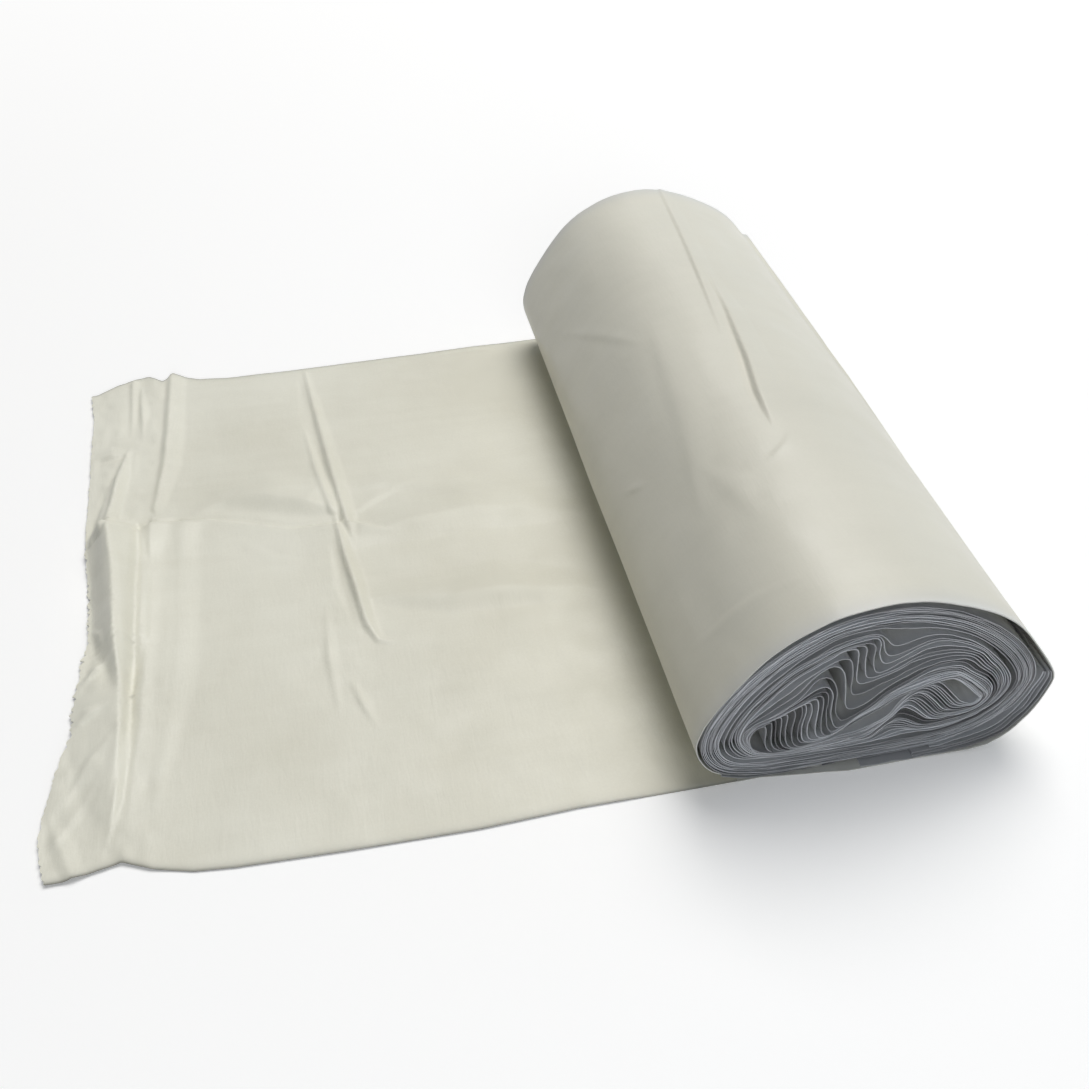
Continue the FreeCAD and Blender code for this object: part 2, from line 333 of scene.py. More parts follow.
@dataclass(frozen=True)
class Ply:
    """A closed sheet of film given by the grids of its two faces.

    Attributes:
        upper: rows by columns by 3 array, millimetres.
        lower: the same for the other face.
        plan: rows by columns by 2 array of positions in the flat web, millimetres.
        shade: rows by columns array, a mask that materials read.
    """

    upper: np.ndarray
    lower: np.ndarray
    plan: np.ndarray
    shade: np.ndarray

    def build(self, name: str) -> bpy.types.Object:
        """Make the mesh: both faces and the four borders, wound to face outwards.

        Args:
            name: name of the object and of its mesh.

        Returns:
            The object, linked to the scene.
        """
        rows, columns = self.upper.shape[:2]
        count = rows * columns
        points = np.concatenate([self.upper.reshape(-1, 3), self.lower.reshape(-1, 3)]) * MM
        index = np.arange(count).reshape(rows, columns)
        quads = [self._quads(index, False), self._quads(index + count, True)]
        for border, turned in ((index[0], True), (index[-1], False),
                               (index[:, 0], False), (index[:, -1], True)):
            strip = np.stack([border[:-1], border[1:], border[1:] + count, border[:-1] + count], 1)
            quads.append(strip[:, ::-1] if turned else strip)
        faces = np.concatenate(quads)
        mesh = bpy.data.meshes.new(name)
        mesh.vertices.add(len(points))
        mesh.vertices.foreach_set("co", points.ravel())
        mesh.loops.add(faces.size)
        mesh.loops.foreach_set("vertex_index", faces.ravel())
        mesh.polygons.add(len(faces))
        mesh.polygons.foreach_set("loop_start", np.arange(0, faces.size, 4))
        plan = np.concatenate([self.plan.reshape(-1, 2)] * 2) * MM
        layer = mesh.uv_layers.new(name="web")
        mesh.update(calc_edges=True)
        layer.data.foreach_set("uv", plan[faces.ravel()].ravel())
        mask = mesh.attributes.new("shade", "FLOAT", "POINT")
        mask.data.foreach_set("value", np.concatenate([self.shade.ravel()] * 2))
        self._sharpen_borders(mesh, faces, 2 * (rows - 1) * (columns - 1))
        mesh.validate()
        made = bpy.data.objects.new(name, mesh)
        bpy.context.collection.objects.link(made)
        return made

    @staticmethod
    def _quads(index: np.ndarray, turned: bool) -> np.ndarray:
        """Corners of the quads of a grid.

        Args:
            index: grid of vertex numbers.
            turned: whether they face the other way.

        Returns:
            n by 4 array of vertex numbers.
        """
        corners = [index[:-1, :-1], index[1:, :-1], index[1:, 1:], index[:-1, 1:]]
        quads = np.stack([corner.ravel() for corner in corners], axis=1)
        return quads[:, ::-1] if turned else quads

    @staticmethod
    def _sharpen_borders(mesh: bpy.types.Mesh, faces: np.ndarray, flat_faces: int) -> None:
        """Shade the thin borders flat, so that they don't smear the light of the wide faces.

        Args:
            mesh: the mesh.
            faces: its quads.
            flat_faces: how many of them belong to the wide faces.
        """
        smooth = np.ones(len(faces), bool)
        smooth[flat_faces:] = False
        mesh.polygons.foreach_set("use_smooth", smooth)
        border = faces[flat_faces:]
        pairs = np.sort(np.stack([border, np.roll(border, -1, axis=1)], axis=2).reshape(-1, 2), 1)
        keys = set(map(tuple, pairs.tolist()))
        ends = np.zeros(len(mesh.edges) * 2, int)
        mesh.edges.foreach_get("vertices", ends)
        ends = np.sort(ends.reshape(-1, 2), axis=1).tolist()
        marks = np.fromiter((tuple(pair) in keys for pair in ends), bool, len(ends))
        sharp = mesh.attributes.new("sharp_edge", "BOOLEAN", "EDGE")
        sharp.data.foreach_set("value", marks)


@dataclass(frozen=True)
class Ripple:
    """Smooth random relief.

    Attributes:
        height: how far it rises and falls about its mean, millimetres.
        cell: spacing of its lattice along each coordinate, millimetres.
        seed: which lattice.
    """

    height: float
    cell: tuple[float, float]
    seed: int

    def over(self, a: np.ndarray, b: np.ndarray) -> np.ndarray:
        """Relief over a surface: its height times noise from -1 to 1.

        Args:
            a: first coordinate of each point.
            b: second coordinate of each point.

        Returns:
            Signed relief at each point.
        """
        return self.height * lattice_noise(a, b, self.cell, self.seed)

    def along(self, a: np.ndarray) -> np.ndarray:
        """Relief along a line: the noise over it, with the second coordinate held at 0.

        Args:
            a: places along the line.

        Returns:
            Signed relief at each place.
        """
        return self.over(a, np.zeros_like(a))


@dataclass(frozen=True)
class Perforation:
    """The torn row of perforations at the end of the bag.

    Attributes:
        pitch: one cut and one bridge.
        depth: how far a bridge stands out as a tooth.
        uneven: how the teeth differ.
        fibre: fine frayed film all along.
        worst: middle and reach of the stretch that tore worst.
        calm: share of the raggedness away from it.
        extra: share added in its middle.
    """

    pitch: float = 3.6
    depth: float = 0.84
    uneven: Ripple = Ripple(0.72, (3.6, 9.0), 31)
    fibre: Ripple = Ripple(0.8, (1.3, 9.0), 32)
    worst: tuple[float, float] = (-55.0, 60.0)
    calm: float = 0.5
    extra: float = 0.9

    def stand_out(self, y: np.ndarray) -> np.ndarray:
        """How far the torn edge stands out: a triangle wave of teeth, and noise between them.

        Both grow towards the stretch that tore worst, as a bell curve does.

        Args:
            y: places along the torn edge.

        Returns:
            Distance outwards at each place.
        """
        phase = np.abs((y / self.pitch) % 1.0 - 0.5) * 2.0
        middle, reach = self.worst
        torn = self.calm + self.extra * np.exp(-((y - middle) / reach) ** 2)
        return torn * (phase * (self.depth + self.uneven.along(y)) + self.fibre.along(y))


@dataclass(frozen=True)
class LeadingBag:
    """The flat bag on the floor: its outline, its folds and the grid that carries them.

    Attributes:
        torn_edge: (y, x) points of the torn end.
        near_edge: (x, y) points of the folded edge nearer the camera.
        far_edge: (x, y) points of the other folded edge.
        columns: (x, spacing) points that say how fine the grid is across the bag.
        folds: creases, pleats and waves.
        row_step: spacing of the grid along the roll.
        perforation: the torn row at its end.
        thickness: height of the folded plies.
        edge_share: share of the thickness that is left right at a folded edge.
        edge_width: width over which a folded edge rounds off.
        edge_shade_reach: reach of the painted shade that darkens a folded edge.
        floor_gap: least height over the floor.
        waves: slow relief of the whole bag.
        waves_from: where they set in, and over what reach, measured from the roll's middle.
        crumples: fine relief near the torn end.
        crumples_from: the same for them.
    """

    torn_edge: Points
    near_edge: Points
    far_edge: Points
    columns: Points
    folds: tuple[Fold, ...]
    row_step: float = 1.2
    perforation: Perforation = Perforation()
    thickness: float = 0.55
    edge_share: float = 0.45
    edge_width: float = 1.5
    edge_shade_reach: float = 2.5
    floor_gap: float = 0.05
    waves: tuple[Ripple, ...] = (Ripple(0.35, (46.0, 31.0), 3), Ripple(0.10, (13.0, 9.0), 5))
    waves_from: tuple[float, float] = (74.0, 25.0)
    crumples: tuple[Ripple, ...] = (Ripple(0.55, (9.0, 15.0), 7), Ripple(0.25, (4.0, 6.0), 8))
    crumples_from: tuple[float, float] = (255.0, 30.0)

    def ply(self) -> Ply:
        """Place the grid, then raise it by its folds, its waves and its crumples.

        x runs from under the roll to the torn edge and y from one folded edge to the other, both
        in straight proportion. The height is the sum of the folds and of the noises, eased in
        where they start.

        Returns:
            The closed sheet.
        """
        rows = int(round(2 * HALF_WIDTH / self.row_step))
        v = np.linspace(0.0, 1.0, rows + 1)[:, None]
        places = graded_places(self.columns)
        u = ((places - places[0]) / (places[-1] - places[0]))[None, :]
        flat_y = (v - 0.5) * 2 * HALF_WIDTH
        torn = np.array(self.torn_edge, float)
        near, far = np.array(self.near_edge, float), np.array(self.far_edge, float)
        start = self.columns[0][0]
        end = np.interp(flat_y, torn[:, 0], torn[:, 1]) - self.perforation.stand_out(flat_y)
        x = start + (end - start) * u
        low = np.interp(x, near[::-1, 0], near[::-1, 1])
        high = np.interp(x, far[::-1, 0], far[::-1, 1])
        y = low + (high - low) * v
        z = sum(fold.height(x, y) for fold in self.folds)
        for ripples, (first, reach) in ((self.waves, self.waves_from),
                                        (self.crumples, self.crumples_from)):
            share = smooth_step((-x - first) / reach)
            z = z + share * sum(ripple.height + ripple.over(x, y) for ripple in ripples)
        z = np.maximum(z, self.floor_gap)
        edge = np.minimum(y - low, high - y)
        rounded = self.edge_share + (1.0 - self.edge_share) * smooth_step(edge / self.edge_width)
        upper = np.stack([x, y, z + self.thickness * rounded], axis=2)
        lower = np.stack([x, y, z], axis=2)
        plan = np.stack([x, y], axis=2)
        # The mask paints a thin line of shade along the folded edges
        return Ply(upper, lower, plan, np.exp(-edge / self.edge_shade_reach))

    def build(self, finish: bpy.types.Material) -> bpy.types.Object:
        """Args:
            finish: its material.

        Returns:
            The object.
        """
        bag = self.ply().build(PieceName.LEADING_BAG.value)
        dress(bag, finish)
        return bag


@dataclass(frozen=True)
class Winding:
    """The wound web seen from its near end, turn inside turn.

    Attributes:
        loose: points of the loose outermost turn that lead into it.
        outlines: closed outlines of the turns at each level.
        samples: samples from one landmark to the next.
        tail: landmarks of the last, unfinished turn.
        web: thickness of the film as wound.
        bunches: (reach, period, phase) waves, in turns, that gather the plies into bundles.
        rows: places along the roll.
        sideways: drift across the roll that neighbouring turns share.
        upwards: the same upwards.
        skew: how fast the two drifts change along the roll.
        end_reach: how far the strong drift reaches from the roll's ends.
        calm: share of the drift halfway along the roll.
        underside: height at which the drift sets in, and over what reach.
        firm: share of the drift that the firm band has.
        slack: turns over which it grows to the whole.
        edges: how far the film's edges stand out along the web.
    """

    loose: Points
    outlines: dict[Level, Points]
    samples: int = 10
    tail: int = 8
    web: float = 0.3
    bunches: Points = ((0.16, 4.3, 0.0), (0.09, 2.7, 1.0))
    rows: tuple[float, ...] = (-165, -162, -150, -110, 110, 150, 162, 165)
    sideways: Ripple = Ripple(0.9, (11.0, 9.0), 11)
    upwards: Ripple = Ripple(0.9, (12.0, 10.0), 12)
    skew: tuple[float, float] = (0.12, 0.10)
    end_reach: float = 18.0
    calm: float = 0.25
    underside: tuple[float, float] = (9.0, 12.0)
    firm: float = 0.06
    slack: float = 4.0
    edges: tuple[Ripple, ...] = (Ripple(0.9, (37.0, 9.0), 51), Ripple(0.5, (9.0, 9.0), 52))

    def middle_line(self) -> tuple[np.ndarray, np.ndarray]:
        """Middle line of the web from under the roll to its inner end.

        Each landmark lies between its places in two outlines, in proportion to its rank. The rank
        is the number of turns outside it plus sine waves, so that plies lie in bundles.

        Returns:
            The smooth line, and for each of its points how many turns lie outside it.
        """
        levels = list(self.outlines)
        stacked = np.stack([np.array(self.outlines[level], float) for level in levels])
        count = stacked.shape[1]
        ranks = np.array([level.value for level in levels])
        steps = np.arange(ranks[-1] * count + self.tail)
        depth = steps / count
        waves = sum(reach * np.sin(depth * math.tau / period + phase)
                    for reach, period, phase in self.bunches)
        bunched = np.where(depth < 1.0, depth, np.maximum(depth + waves, 0.0))
        k = np.clip(np.searchsorted(ranks, bunched, side="right") - 1, 0, len(ranks) - 2)
        part = ((bunched - ranks[k]) / (ranks[k + 1] - ranks[k]))[:, None]
        landmark = steps % count
        wound = stacked[k, landmark] * (1.0 - part) + stacked[k + 1, landmark] * part
        points = np.concatenate([np.array(self.loose, float), wound])
        line = natural_spline(points, self.samples)
        turns = np.concatenate([np.zeros(len(self.loose)), depth])
        fine = np.linspace(0, len(turns) - 1, len(line))
        return line, np.interp(fine, np.arange(len(turns)), turns)

    def sway(self, line: np.ndarray, turns: np.ndarray, y: np.ndarray) -> np.ndarray:
        """Drift that neighbouring turns share: noise over the section, skewed along the roll.

        It fades from the roll's ends to its middle, towards the floor and into the firm band.

        Args:
            line: n by 2 middle line.
            turns: how many turns lie outside each of its points.
            y: m places along the roll.

        Returns:
            n by m by 2 array of drifts.
        """
        a, b = line[:, 0][:, None], line[:, 1][:, None]
        near_end = np.exp(-(HALF_WIDTH - np.abs(y))[None, :] / self.end_reach)
        lifted = smooth_step((b - self.underside[0]) / self.underside[1])
        loose = smooth_step((turns[:, None] - Level.BAND_INSIDE.value) / self.slack)
        share = (self.calm + (1.0 - self.calm) * near_end) * lifted
        share = share * (self.firm + (1.0 - self.firm) * loose)
        side = self.sideways.over(a + self.skew[0] * y, b)
        lift = self.upwards.over(a, b + self.skew[1] * y)
        return np.stack([side * share, lift * share], axis=2)

    def build(self, finish: bpy.types.Material) -> list[bpy.types.Object]:
        """Make the wound web as two ribbons, the firm band and the collapsed core.

        Args:
            finish: their material.

        Returns:
            The two objects.
        """
        line, turns = self.middle_line()
        y = np.array(self.rows, float)
        drift = self.sway(line, turns, y)
        reach = length_along(line)
        edge = -sum(np.abs(ripple.along(reach)) for ripple in self.edges)
        split = int(np.argmax(turns > Level.UNDER_BAND.value - 0.5))
        made = []
        for name, part in ((PieceName.FIRM_BAND, slice(0, split + 1)),
                           (PieceName.CORE, slice(split, len(line)))):
            web = ribbon(line[part], y, self.web, edge[part], turns[part], drift[part])
            made.append(web.build(name.value))
            dress(made[-1], finish)
        return made


def ribbon(line: np.ndarray, y: np.ndarray, web: float, edge: np.ndarray, shade: np.ndarray,
           drift: np.ndarray | float = 0.0) -> Ply:
    """Thicken a line by half a web to each side and draw it out along the roll.

    Args:
        line: n by 2 middle line.
        y: m places along the roll.
        web: thickness of the ribbon.
        edge: n offsets of the web's edges along the roll.
        shade: n numbers that materials read.
        drift: n by m by 2 movement of the middle line.

    Returns:
        The closed ribbon.
    """
    square = normals_of(line)[:, None, :] * (0.5 * web)
    middle = np.repeat(line[:, None, :], len(y), axis=1) + drift
    along = y[None, :] + edge[:, None] * (y / HALF_WIDTH)[None, :] ** END_POWER
    upper, lower = (np.stack([flat[:, :, 0], along, flat[:, :, 1]], axis=2)
                    for flat in (middle + square, middle - square))
    plan = np.stack(np.broadcast_arrays(length_along(line)[:, None], along), axis=2)
    return Ply(upper, lower, plan, np.repeat(shade[:, None], len(y), axis=1))


class Graph:
    """A node tree with short ways to add nodes and join them."""

    def __init__(self, tree: bpy.types.NodeTree) -> None:
        """Wrap a tree.

        Args:
            tree: the node tree of a material, world or group.
        """
        self.tree = tree

    def add(self, kind: str, inputs: dict | None = None, **settings: object) -> bpy.types.Node:
        """Add a node.

        Args:
            kind: its type.
            inputs: input name or number to a constant, or to an output socket to join.
            settings: properties of the node.

        Returns:
            The node.
        """
        node = self.tree.nodes.new(kind)
        for name, value in settings.items():
            setattr(node, name, value)
        for name, value in (inputs or {}).items():
            self.feed(node.inputs[name], value)
        return node

    def feed(self, socket: Socket, value: object) -> None:
        """Join an output to an input, or set the input to a constant.

        Args:
            socket: the input.
            value: an output socket or a constant.
        """
        if isinstance(value, Socket):
            self.tree.links.new(value, socket)
        else:
            socket.default_value = value

    def noise(self, vector: Socket, scale: float, detail: float = 2.0,
              rough: float = 0.5) -> Socket:
        """Noise from 0 to 1.

        Args:
            vector: the coordinate, as an output socket.
            scale: features a metre.
            detail: octaves.
            rough: weight of each finer octave.

        Returns:
            The noise, as an output socket.
        """
        made = self.add("ShaderNodeTexNoise", {"Vector": vector, "Scale": scale, "Detail": detail,
                                               "Roughness": rough})
        return made.outputs["Fac"]

    def math(self, operation: str, *values: object) -> Socket:
        """Arithmetic.

        Args:
            operation: the operation's name.
            values: constants or output sockets.

        Returns:
            The result, as an output socket.
        """
        return self.add("ShaderNodeMath", dict(enumerate(values)), operation=operation).outputs[0]

    def stretch(self, vector: Socket, scale: tuple[float, float, float]) -> Socket:
        """Scale a coordinate axis by axis.

        Args:
            vector: the coordinate, as an output socket.
            scale: factor for each axis.

        Returns:
            The scaled coordinate, as an output socket.
        """
        made = self.add("ShaderNodeVectorMath", {0: vector, 1: scale}, operation="MULTIPLY")
        return made.outputs[0]

    def span(self, value: Socket, low: float, high: float, to_low: float = 0.0,
             to_high: float = 1.0) -> Socket:
        """Map a range onto another, clipped at its ends.

        Args:
            value: an output socket.
            low: start of the range.
            high: end of the range.
            to_low: what low becomes.
            to_high: what high becomes.

        Returns:
            The mapped value, as an output socket.
        """
        made = self.add("ShaderNodeMapRange", {0: value, 1: low, 2: high, 3: to_low, 4: to_high})
        return made.outputs[0]

    def blend(self, factor: Socket, first: object, second: object) -> Socket:
        """Mix two colours.

        Args:
            factor: 0 for the first, 1 for the second.
            first: colour or output socket.
            second: colour or output socket.

        Returns:
            The mixed colour, as an output socket.
        """
        made = self.add("ShaderNodeMix", {"Factor": factor}, data_type="RGBA")
        self.feed(made.inputs[6], first)
        self.feed(made.inputs[7], second)
        return made.outputs[2]


def new_group(name: str, inputs: dict[str, str],
              outputs: dict[str, str]) -> tuple[Graph, bpy.types.Node, bpy.types.Node]:
    """Start a shader node group.

    Args:
        name: the group's name.
        inputs: socket name to socket type.
        outputs: socket name to socket type.

    Returns:
        The graph, its input node and its output node.
    """
    tree = bpy.data.node_groups.new(name, "ShaderNodeTree")
    for sockets, side in ((inputs, "INPUT"), (outputs, "OUTPUT")):
        for socket, kind in sockets.items():
            tree.interface.new_socket(socket, in_out=side, socket_type=kind)
    graph = Graph(tree)
    return graph, graph.add("NodeGroupInput"), graph.add("NodeGroupOutput")


# Scales are in features a metre, and shares say how much of a mix each pattern is
CLOUD_SCALE, CLOUD_SHARE = 11.0, 0.74
STREAK_SCALE, STREAK_SHARE = (9.0, 130.0, 9.0), 0.12
SPECK_SCALE, SPECK_SHARE = 900.0, 0.14
TONE_SPAN = (0.34, 0.66)
# Metres from the middle of the roll to the middle of the flat bag, where the painted roll shade is
# zero
BAG_MIDDLE = 0.19


def film_tone_group() -> bpy.types.NodeTree:
    """Colour of stacked film: slow clouds where plies lie closer, and faint streaks of the film.

    Returns:
        The group, from a coordinate, two colours and how strongly painted shade of the roll deepens
        the film towards it, to a colour.
    """
    graph, start, end = new_group(
        "film_tone",
        {"Vector": "NodeSocketVector", "Pale": "NodeSocketColor", "Deep": "NodeSocketColor",
         "RollShade": "NodeSocketFloat"},
        {"Color": "NodeSocketColor"},
    )
    vector = start.outputs["Vector"]
    clouds = graph.noise(vector, CLOUD_SCALE, 3.0, 0.55)
    streaks = graph.noise(graph.stretch(vector, STREAK_SCALE), 1.0)
    specks = graph.noise(vector, SPECK_SCALE, 1.0)
    mixed = graph.math("MULTIPLY_ADD", clouds, CLOUD_SHARE,
                       graph.math("MULTIPLY", streaks, STREAK_SHARE))
    mixed = graph.math("MULTIPLY_ADD", specks, SPECK_SHARE, mixed)
    # Painted shade: the film deepens in straight proportion towards the roll, for the roll's shade
    # on the flat bag
    across = graph.add("ShaderNodeSeparateXYZ", {0: vector}).outputs[0]
    drift = graph.math("MULTIPLY", graph.math("ADD", across, BAG_MIDDLE), start.outputs["RollShade"])
    factor = graph.span(graph.math("SUBTRACT", mixed, drift), *TONE_SPAN)
    graph.feed(end.inputs["Color"],
               graph.blend(factor, start.outputs["Deep"], start.outputs["Pale"]))
    return graph.tree


# Share of the relief's strength, and depth in metres, of each pattern
DENT_SCALE, DENT_SHARE, DENT_DEPTH = 38.0, 0.55, 0.004
CRINKLE_SCALE, CRINKLE_SHARE, CRINKLE_DEPTH = (210.0, 46.0, 210.0), 0.35, 0.0012
GRAIN_SCALE, GRAIN_SHARE, GRAIN_DEPTH = 1500.0, 0.18, 0.0002


def film_relief_group() -> bpy.types.NodeTree:
    """Relief of thin film: soft dents, fine crinkles across the web and a faint blown grain.

    Returns:
        The group, from a coordinate and a strength to a normal.
    """
    graph, start, end = new_group(
        "film_relief",
        {"Vector": "NodeSocketVector", "Strength": "NodeSocketFloat"},
        {"Normal": "NodeSocketVector"},
    )
    vector, strength = start.outputs["Vector"], start.outputs["Strength"]
    dents = graph.noise(vector, DENT_SCALE, 2.0, 0.45)
    crinkles = graph.noise(graph.stretch(vector, CRINKLE_SCALE), 1.0, 3.0, 0.6)
    crests = graph.math("ABSOLUTE", graph.math("SUBTRACT", crinkles, 0.5))
    grain = graph.noise(vector, GRAIN_SCALE)
    normal = None
    for height, share, depth in ((dents, DENT_SHARE, DENT_DEPTH),
                                 (crests, CRINKLE_SHARE, CRINKLE_DEPTH),
                                 (grain, GRAIN_SHARE, GRAIN_DEPTH)):
        inputs = {"Strength": graph.math("MULTIPLY", strength, share), "Distance": depth,
                  "Height": height}
        if normal is not None:
            inputs["Normal"] = normal
        normal = graph.add("ShaderNodeBump", inputs).outputs[0]
    graph.feed(end.inputs["Normal"], normal)
    return graph.tree


# Metres from the middle of the web between which the painted shade and cool light of the roll's
# ends set in, and how suddenly
EDGE_ZONE, EDGE_SUDDEN = (0.152, 0.1646), 2.2
# Ply tones to a turn, changes of tone a metre along the web, and how much broader bundles are
PLY_TONES, ALONG_TONES, BUNDLE_STRETCH = 1.9, 7.0, (0.33, 0.8, 1.0)
BUNDLE_SHARE, PLY_SHARE, PLY_SPAN = 0.6, 0.4, (0.36, 0.62)


def ply_edge_group() -> bpy.types.NodeTree:
    """Where the painted shade and cool light of the roll's ends set in, and how pale each ply's
    edge is.

    A ply keeps its tone for most of a turn, so the tone is noise over the number of turns, with a
    slow change along the web.

    Returns:
        The group, from the web coordinate and the number of turns to a mask of that painted shade
        and a tone.
    """
    graph, start, end = new_group(
        "ply_edge",
        {"Web": "NodeSocketVector", "Turns": "NodeSocketFloat"},
        {"Mask": "NodeSocketFloat", "Tone": "NodeSocketFloat"},
    )
    split = graph.add("ShaderNodeSeparateXYZ", {0: start.outputs["Web"]})
    # Painted shade: the mask rises over the last part of the web before the roll's ends
    mask = graph.span(graph.math("ABSOLUTE", split.outputs[1]), *EDGE_ZONE)
    graph.feed(end.inputs["Mask"], graph.math("POWER", mask, EDGE_SUDDEN))
    turn = graph.math("MULTIPLY", start.outputs["Turns"], PLY_TONES)
    along = graph.math("MULTIPLY", split.outputs[0], ALONG_TONES)
    place = graph.add("ShaderNodeCombineXYZ", {0: turn, 1: along}).outputs[0]
    plies = graph.noise(place, 1.0, 1.0)
    bundles = graph.noise(graph.stretch(place, BUNDLE_STRETCH), 1.0, 1.0)
    tone = graph.math("MULTIPLY_ADD", bundles, BUNDLE_SHARE,
                      graph.math("MULTIPLY", plies, PLY_SHARE))
    graph.feed(end.inputs["Tone"], graph.span(tone, *PLY_SPAN))
    return graph.tree


@dataclass(frozen=True)
class Film:
    """Finish of one piece of film.

    Attributes:
        name: name of the material.
        pale: colour where the plies lie loose.
        deep: colour where they lie close, and where the painted shade of the roll deepens the flat
            bag.
        edge_shade_pale: palest colour at the cut edges; with edge_shade_deep it paints shade and
            cool light there.
        edge_shade_deep: darkest colour there; each ply's own tone picks between the two.
        roughness: base roughness of the sheen.
        relief: strength of the fine relief.
        drift: how fast painted shade of the roll deepens the film from the torn end to the roll.
        wound: whether its edges show many plies; the flat bag shows only a thin line of painted
            shade.
        line_sudden: how suddenly that painted shade line sets in at a folded edge.
        sheen_scale: patches of sheen a metre.
        sheen_spread: how much smoother and rougher than the base they are.
        refraction: index of refraction of the film.
        specular: level of its mirror reflection.
    """

    name: str
    pale: Colour
    deep: Colour
    edge_shade_pale: Colour
    edge_shade_deep: Colour
    roughness: float
    relief: float
    drift: float = 0.0
    wound: bool = True
    line_sudden: float = 2.5
    sheen_scale: float = 60.0
    sheen_spread: tuple[float, float] = (-0.05, 0.07)
    refraction: float = 1.5
    specular: float = 0.42

    def build(self, groups: dict[str, bpy.types.NodeTree]) -> bpy.types.Material:
        """Make the material.

        Args:
            groups: the shared node groups by name.

        Returns:
            The material.
        """
        material = bpy.data.materials.new(self.name)
        material.use_nodes = True
        graph = Graph(material.node_tree)
        material.node_tree.nodes.clear()
        place = graph.add("ShaderNodeTexCoord").outputs["Object"]
        web = graph.add("ShaderNodeUVMap", uv_map="web").outputs[0]
        turns = graph.add("ShaderNodeAttribute", attribute_name="shade").outputs["Fac"]
        tone = graph.add("ShaderNodeGroup", node_tree=groups["film_tone"])
        edge = graph.add("ShaderNodeGroup", node_tree=groups["ply_edge"])
        relief = graph.add("ShaderNodeGroup", node_tree=groups["film_relief"])
        for node, values in (
            (tone, {"Vector": place, "Pale": (*self.pale, 1.0), "Deep": (*self.deep, 1.0),
                    "RollShade": self.drift}),
            (edge, {"Web": web, "Turns": turns}),
            (relief, {"Vector": place, "Strength": self.relief}),
        ):
            for socket, value in values.items():
                graph.feed(node.inputs[socket], value)
        # Painted shade and painted cool light at the cut edges, spread by each ply's own tone
        edge_shade_colour = graph.blend(edge.outputs["Tone"], (*self.edge_shade_deep, 1.0),
                                  (*self.edge_shade_pale, 1.0))
        # On the flat bag the mask is the painted shade along its folded edges, read from the shade
        # attribute
        mask = (edge.outputs["Mask"] if self.wound
                else graph.math("POWER", turns, self.line_sudden))
        colour = graph.blend(mask, tone.outputs["Color"], edge_shade_colour)
        smoother, rougher = self.sheen_spread
        sheen = graph.span(graph.noise(place, self.sheen_scale, 3.0), 0.35, 0.65,
                           self.roughness + smoother, self.roughness + rougher)
        shader = graph.add("ShaderNodeBsdfPrincipled", {
            "Base Color": colour, "Roughness": sheen, "Normal": relief.outputs["Normal"],
            "IOR": self.refraction, "Specular IOR Level": self.specular,
        })
        output = graph.add("ShaderNodeOutputMaterial")
        graph.feed(output.inputs["Surface"], shader.outputs[0])
        return material


def srgb(red: float, green: float, blue: float) -> Colour:
    """Linear colour of 8-bit screen values.

    Args:
        red: 0 to 255.
        green: 0 to 255.
        blue: 0 to 255.

    Returns:
        The linear colour.
    """
    parts = [value / 255.0 for value in (red, green, blue)]
    return tuple(v / 12.92 if v <= 0.04045 else ((v + 0.055) / 1.055) ** 2.4 for v in parts)


def light_path(graph: Graph) -> tuple[bpy.types.Node, Socket]:
    """Tell the rays that the camera sees from those that light the object.

    Args:
        graph: the node tree to add to.

    Returns:
        The Light Path node, and 1 for camera, mirror and transmission rays.
    """
    rays = graph.add("ShaderNodeLightPath")
    indirect = graph.math("MAXIMUM", rays.outputs["Is Glossy Ray"],
                          rays.outputs["Is Transmission Ray"])
    return rays, graph.math("MAXIMUM", rays.outputs["Is Camera Ray"], indirect)


